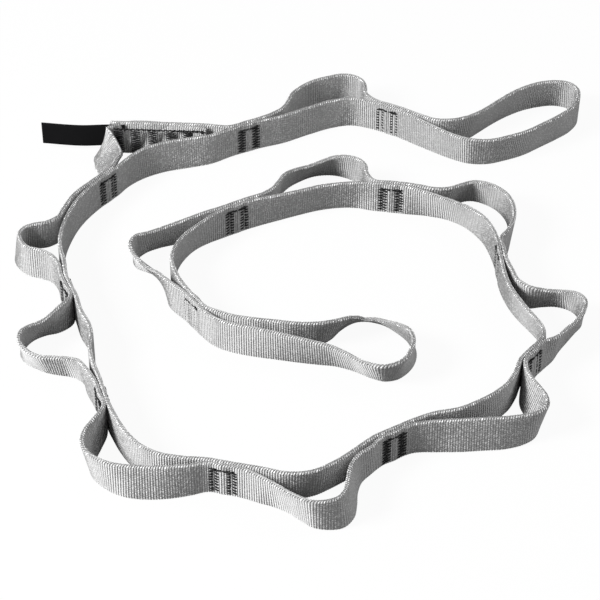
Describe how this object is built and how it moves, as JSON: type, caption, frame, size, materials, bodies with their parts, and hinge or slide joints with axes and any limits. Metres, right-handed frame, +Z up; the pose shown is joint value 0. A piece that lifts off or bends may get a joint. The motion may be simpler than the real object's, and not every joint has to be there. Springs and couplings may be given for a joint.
{
  "type": "climbing daisy chain",
  "caption": "Flat-webbing daisy chain lying coiled on edge: pockets divided by sewn bar tacks, an end loop at each end, a lapped splice and a blank tape label.",
  "frame": {"origin": "centre of the coil's box on the surface that it stands on", "axes": "+Z up, across the webbing's width; +Y away from the viewer, along the coil's longest side; +X to the viewer's right"},
  "size_m": [0.3074, 0.3432, 0.019],
  "materials": {
    "webbing": "light grey woven nylon webbing, ribbed across its width, matt",
    "thread": "near-black polyester sewing thread, slight sheen",
    "label": "black woven tape, blank"
  },
  "bodies": {
    "start": {"end_loop_start": "webbing", "bar_tack_01": "thread"},
    "link_01": {"pocket_01_spine": "webbing", "pocket_01_loop": "webbing", "bar_tack_02": "thread"},
    "link_02": {"pocket_02_spine": "webbing", "pocket_02_loop": "webbing", "bar_tack_03": "thread", "splice_end": "webbing", "splice_stitching": "thread", "label": "label"},
    "link_03": {"pocket_03_spine": "webbing", "pocket_03_loop": "webbing", "bar_tack_04": "thread"},
    "link_04": {"pocket_04_spine": "webbing", "pocket_04_loop": "webbing", "bar_tack_05": "thread"},
    "link_05": {"pocket_05_spine": "webbing", "pocket_05_loop": "webbing", "bar_tack_06": "thread"},
    "link_06": {"pocket_06_spine": "webbing", "pocket_06_loop": "webbing", "bar_tack_07": "thread"},
    "link_07": {"pocket_07_spine": "webbing", "pocket_07_loop": "webbing", "bar_tack_08": "thread"},
    "link_08": {"pocket_08_spine": "webbing", "pocket_08_loop": "webbing", "bar_tack_09": "thread"},
    "link_09": {"pocket_09_spine": "webbing", "pocket_09_loop": "webbing", "bar_tack_10": "thread"},
    "link_10": {"pocket_10_spine": "webbing", "pocket_10_loop": "webbing", "bar_tack_11": "thread"},
    "link_11": {"pocket_11_spine": "webbing", "pocket_11_loop": "webbing", "bar_tack_12": "thread"},
    "far": {"end_loop_far": "webbing"}
  },
  "joints": [
    {"name": "bend_01", "type": "hinge", "parent": "start", "child": "link_01", "pos_m": [0.03713, 0.1446, 0.0095], "axis": [0, 0, 1], "range_deg": [-55, 16]},
    {"name": "bend_02", "type": "hinge", "parent": "link_01", "child": "link_02", "pos_m": [-0.0421, 0.11898, 0.0095], "axis": [0, 0, 1], "range_deg": [-55, 5]},
    {"name": "bend_03", "type": "hinge", "parent": "link_02", "child": "link_03", "pos_m": [-0.11489, 0.06865, 0.0095], "axis": [0, 0, 1], "range_deg": [-55, 5]},
    {"name": "bend_04", "type": "hinge", "parent": "link_03", "child": "link_04", "pos_m": [-0.11809, -0.02474, 0.0095], "axis": [0, 0, 1], "range_deg": [-55, 6]},
    {"name": "bend_05", "type": "hinge", "parent": "link_04", "child": "link_05", "pos_m": [-0.09592, -0.10596, 0.0095], "axis": [0, 0, 1], "range_deg": [-55, 6]},
    {"name": "bend_06", "type": "hinge", "parent": "link_05", "child": "link_06", "pos_m": [-0.03025, -0.14814, 0.0095], "axis": [0, 0, 1], "range_deg": [-55, 6]},
    {"name": "bend_07", "type": "hinge", "parent": "link_06", "child": "link_07", "pos_m": [0.04717, -0.11891, 0.0095], "axis": [0, 0, 1], "range_deg": [-55, 6]},
    {"name": "bend_08", "type": "hinge", "parent": "link_07", "child": "link_08", "pos_m": [0.11423, -0.0597, 0.0095], "axis": [0, 0, 1], "range_deg": [-14, 6]},
    {"name": "bend_09", "type": "hinge", "parent": "link_08", "child": "link_09", "pos_m": [0.09882, 0.0217, 0.0095], "axis": [0, 0, 1], "range_deg": [-20, 12]},
    {"name": "bend_10", "type": "hinge", "parent": "link_09", "child": "link_10", "pos_m": [0.03508, 0.06943, 0.0095], "axis": [0, 0, 1], "range_deg": [-20, 12]},
    {"name": "bend_11", "type": "hinge", "parent": "link_10", "child": "link_11", "pos_m": [-0.04678, 0.0449, 0.0095], "axis": [0, 0, 1], "range_deg": [-48, 15]},
    {"name": "bend_12", "type": "hinge", "parent": "link_11", "child": "far", "pos_m": [-0.0514, -0.03555, 0.0095], "axis": [0, 0, 1], "range_deg": [-55, 20]}
  ]
}
